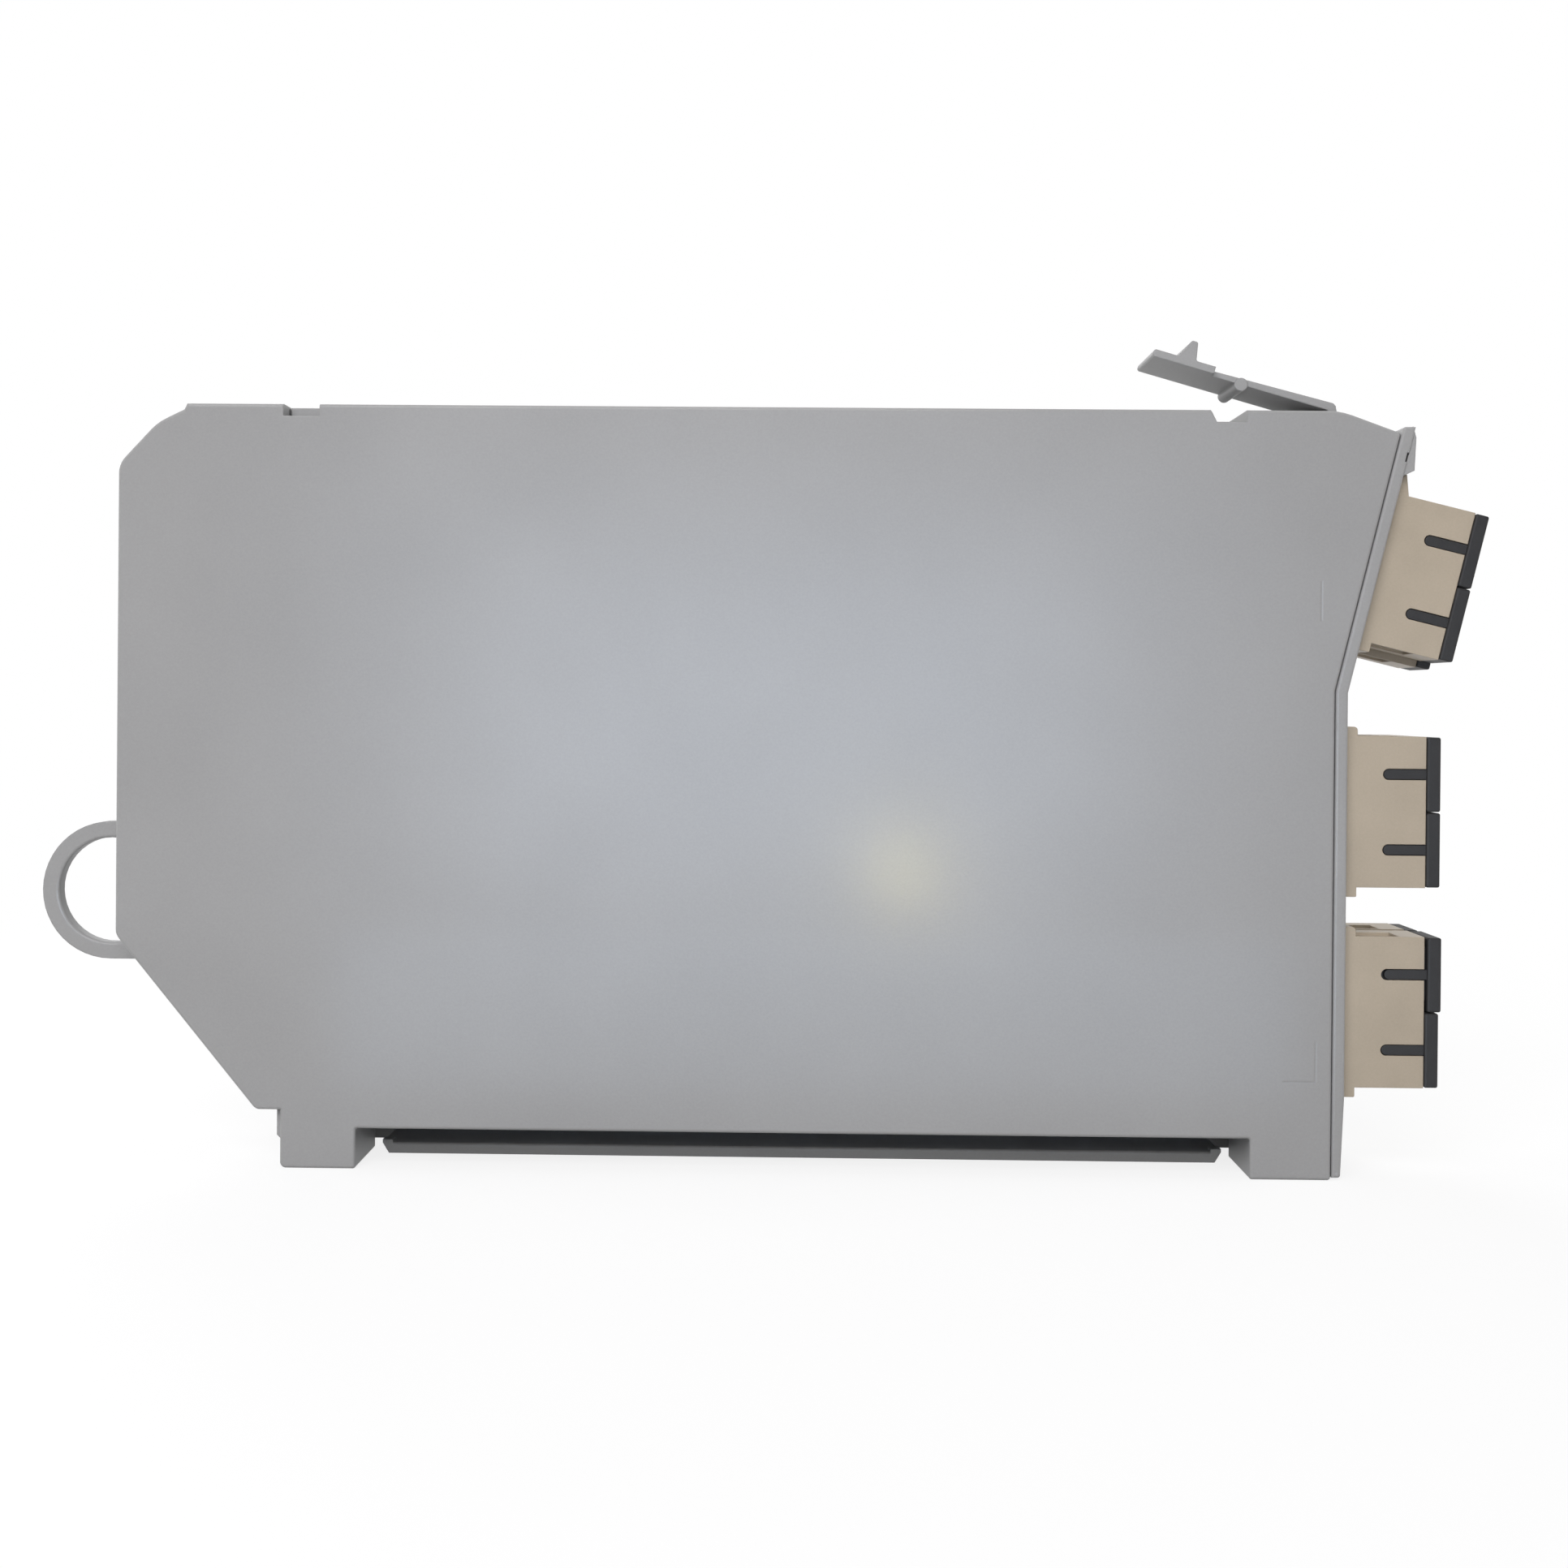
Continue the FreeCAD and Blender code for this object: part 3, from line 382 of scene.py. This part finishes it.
def inner_plastic(name, colour, roughness, grain):
    """Plain moulded finish of the pieces inside the case."""
    finish = Finish(name)
    clouds = finish.noise(grain=6.0)
    speckle = finish.noise(grain)
    finish.tint(colour, [
        finish.sway(clouds, amount=0.05),
        finish.sway(speckle, amount=0.03),
    ])
    below, above = INNER_ROUGHNESS_REACH
    finish.rough(finish.spread(clouds, low=roughness - below, high=roughness + above))
    finish.bump(speckle, depth=0.006)
    return finish.material


def dress_nodes():
    """Gives each CAD node the finish of the material slot that the record names for it."""
    finishes = {
        "case_grey": case_plastic(),
        "adapter_beige": adapter_plastic(),
        "dust_plug_grey": plug_rubber(),
        "clip_steel": brushed_metal("clip_steel", CLIP_STEEL, grain=0.2, stretch=(1.0, 1.0, 14.0)),
        "coupler_steel": brushed_metal("coupler_steel", TUBE_STEEL, grain=0.2, stretch=(20.0, 1.0, 1.0)),
        "sleeve_ceramic": inner_plastic("sleeve_ceramic", SLEEVE_WHITE, roughness=0.18, grain=0.15),
        "plug_beige": inner_plastic("plug_beige", PLUG_BEIGE, roughness=0.4, grain=0.3),
        "fibre_jacket": inner_plastic("fibre_jacket", FIBRE_YELLOW, roughness=0.42, grain=0.25),
        "holder_grey": inner_plastic("holder_grey", HOLDER_GREY, roughness=0.45, grain=0.3),
    }
    slots = {part["node"]: part["material_slot"] for part in frame["record"]["subparts"]}
    for name, node in frame["nodes"].items():
        node.data.materials.clear()
        node.data.materials.append(finishes[slots[name]])


def direction_fade(graph, axis, levels, fade):
    """Level of the world that goes from one to the other along an axis of its direction."""
    direction = graph.axes(graph.node("TexCoord").outputs["Generated"])
    low, high = levels
    start, end = fade
    return graph.spread(direction[axis], low, high, start, end, curve="SMOOTHSTEP")


def make_world():
    """Soft light, stronger from above, seen as a white backdrop.

    Reflections show a dimmer room behind the camera.
    """
    world = bpy.data.worlds.new("studio")
    bpy.context.scene.world = world
    graph = Graph(world)
    output = graph.node("OutputWorld")
    light = graph.node("Background")
    graph.link(direction_fade(graph, "Z", AMBIENT, AMBIENT_FADE), light.inputs["Strength"])
    backdrop = graph.node("Background")
    room = direction_fade(graph, "Y", (ROOM, BACKDROP), ROOM_FADE)
    camera_ray = graph.node("LightPath").outputs["Is Camera Ray"]
    graph.link(graph.math("MAXIMUM", camera_ray, room), backdrop.inputs["Strength"])
    for background in (light, backdrop):
        background.inputs["Color"].default_value = linear(PLAIN_WHITE)
    shown = graph.blend(
        graph.seen_ray(), light.outputs["Background"], backdrop.outputs["Background"],
    )
    graph.link(shown, output.inputs["Surface"])


def floor_paper():
    """Pale paper that goes over into the white backdrop away from the object.

    It throws less light on the object than its colour shows.
    """
    material = bpy.data.materials.new("floor_white")
    graph = Graph(material)
    output = graph.node("OutputMaterial")
    seen = graph.seen_ray()
    shade = graph.node("Mix", data_type="RGBA")
    graph.link(seen, shade.inputs["Factor"])
    shade.inputs[MIX_FIRST_COLOUR].default_value = linear(FLOOR_BOUNCE)
    shade.inputs[MIX_SECOND_COLOUR].default_value = linear(FLOOR_WHITE)
    paper = graph.node("BsdfDiffuse")
    graph.link(shade.outputs[MIX_COLOUR_RESULT], paper.inputs["Color"])
    glow = graph.node("Emission")
    glow.inputs["Strength"].default_value = BACKDROP
    distance = graph.node("VectorMath", operation="LENGTH")
    graph.link(graph.node("TexCoord").outputs["Object"], distance.inputs[0])
    near, far = FLOOR_FADE
    low, high = FLOOR_GLOW
    share = graph.spread(distance.outputs["Value"], low, high, near * MM, far * MM, curve="SMOOTHSTEP")
    shown = graph.blend(
        graph.math("MULTIPLY", share, seen), paper.outputs["BSDF"], glow.outputs["Emission"],
    )
    graph.link(shown, output.inputs["Surface"])
    return material


def make_floor():
    """Pale floor under the rail, which keeps the object's shadow."""
    reach = FLOOR_HALF_SIDE * MM
    level = cad_box[0][2]
    corners = [(x * reach, y * reach, level) for x, y in ((-1, -1), (1, -1), (1, 1), (-1, 1))]
    mesh = bpy.data.meshes.new("floor")
    mesh.from_pydata(corners, [], [(0, 1, 2, 3)])
    mesh.materials.append(floor_paper())
    floor = bpy.data.objects.new("floor", mesh)
    bpy.context.scene.collection.objects.link(floor)


def make_lamp(name, place, size, power, colour, target=OBJECT_MIDDLE, lights=True, shows=True):
    """Soft rectangular lamp at a place, turned to the target, with its power in watts.

    It may light surfaces, show in their reflections, or both.
    """
    lamp = bpy.data.lights.new(name, "AREA")
    lamp.shape = "RECTANGLE"
    lamp.size = size[0] * MM
    lamp.size_y = size[1] * MM
    lamp.energy = power
    lamp.color = linear(colour)[:3]
    holder = bpy.data.objects.new(name, lamp)
    bpy.context.scene.collection.objects.link(holder)
    start = Vector(place) * MM
    aim = Vector(target) * MM - start
    facing = aim.to_track_quat("-Z", "Y").to_matrix().to_4x4()
    holder.matrix_world = Matrix.Translation(start) @ facing
    holder.visible_camera = False
    holder.visible_diffuse = lights
    holder.visible_glossy = shows


def make_window(name, place, size, power, colour):
    """Lamp that faces the near plate squarely and only shows in its reflections."""
    x, _, z = place
    make_lamp(name, place, size, power, colour, target=(x, 0.0, z), lights=False)


def make_lamps():
    """Key light over the camera's left, a fill over the camera, and lights behind and at both sides.

    The windows and the small table lamp are only seen as the sheen of the near plate.
    """
    make_lamp(
        "key", place=(-200.0, -750.0, 650.0), size=(700.0, 500.0), power=6.3, colour=DAYLIGHT,
    )
    make_lamp(
        "fill", place=(10.0, -700.0, 285.0), size=(400.0, 80.0), power=0.9, colour=WARM_WHITE,
        shows=False,
    )
    make_lamp(
        "rear", place=(-300.0, 900.0, 600.0), size=(700.0, 500.0), power=7.6, colour=PLAIN_WHITE,
        shows=False,
    )
    make_lamp(
        "right", place=(900.0, 60.0, 480.0), size=(400.0, 400.0), power=2.6, colour=PLAIN_WHITE,
        shows=False,
    )
    make_lamp(
        "left", place=(-900.0, 60.0, 480.0), size=(400.0, 400.0), power=2.4, colour=PLAIN_WHITE,
        shows=False,
    )
    make_window(
        "window", place=(8.0, -350.0, 70.0), size=(330.0, 190.0), power=0.55, colour=PALE_SKY,
    )
    make_window(
        "window_heart", place=(8.0, -351.0, 64.0), size=(220.0, 130.0), power=0.42, colour=CLEAR_SKY,
    )
    make_window(
        "low_window", place=(15.0, -60.0, 19.0), size=(185.0, 30.0), power=0.040, colour=LOW_SKY,
    )
    make_window(
        "low_sheen", place=(15.0, -60.0, 12.0), size=(130.0, 16.0), power=0.020, colour=LOW_SKY,
    )
    make_lamp(
        "table_lamp", place=(37.7, -150.0, 39.1), size=(8.0, 8.0), power=0.0118, colour=BULB_YELLOW,
        target=(29.7, -12.5, 51.2), lights=False,
    )


def turn(degrees, axis):
    """Rotation by the degrees about an axis."""
    return Matrix.Rotation(math.radians(degrees), 4, axis)


def make_camera():
    """Camera at the photograph's place, with the photograph's frame."""
    camera = bpy.data.cameras.new("photo_camera")
    camera.sensor_width = SENSOR_WIDTH
    camera.lens = FOCAL_PIXELS / PHOTO_SIDE * SENSOR_WIDTH
    camera.shift_x = FRAME_MIDDLE - PRINCIPAL_POINT[0] / PHOTO_SIDE
    camera.shift_y = PRINCIPAL_POINT[1] / PHOTO_SIDE - FRAME_MIDDLE
    camera.clip_start = NEAREST_SEEN * MM
    holder = bpy.data.objects.new("photo_camera", camera)
    bpy.context.scene.collection.objects.link(holder)
    level_view = turn(CAMERA_UPRIGHT, "X")
    tilt = turn(CAMERA_YAW, "Y") @ turn(-CAMERA_PITCH, "X") @ turn(CAMERA_ROLL, "Z")
    holder.matrix_world = Matrix.Translation(Vector(CAMERA_PLACE) * MM) @ level_view @ tilt
    bpy.context.scene.camera = holder


dress_nodes()
make_world()
make_floor()
make_lamps()
make_camera()
bpy.context.scene.view_settings.view_transform = "Standard"
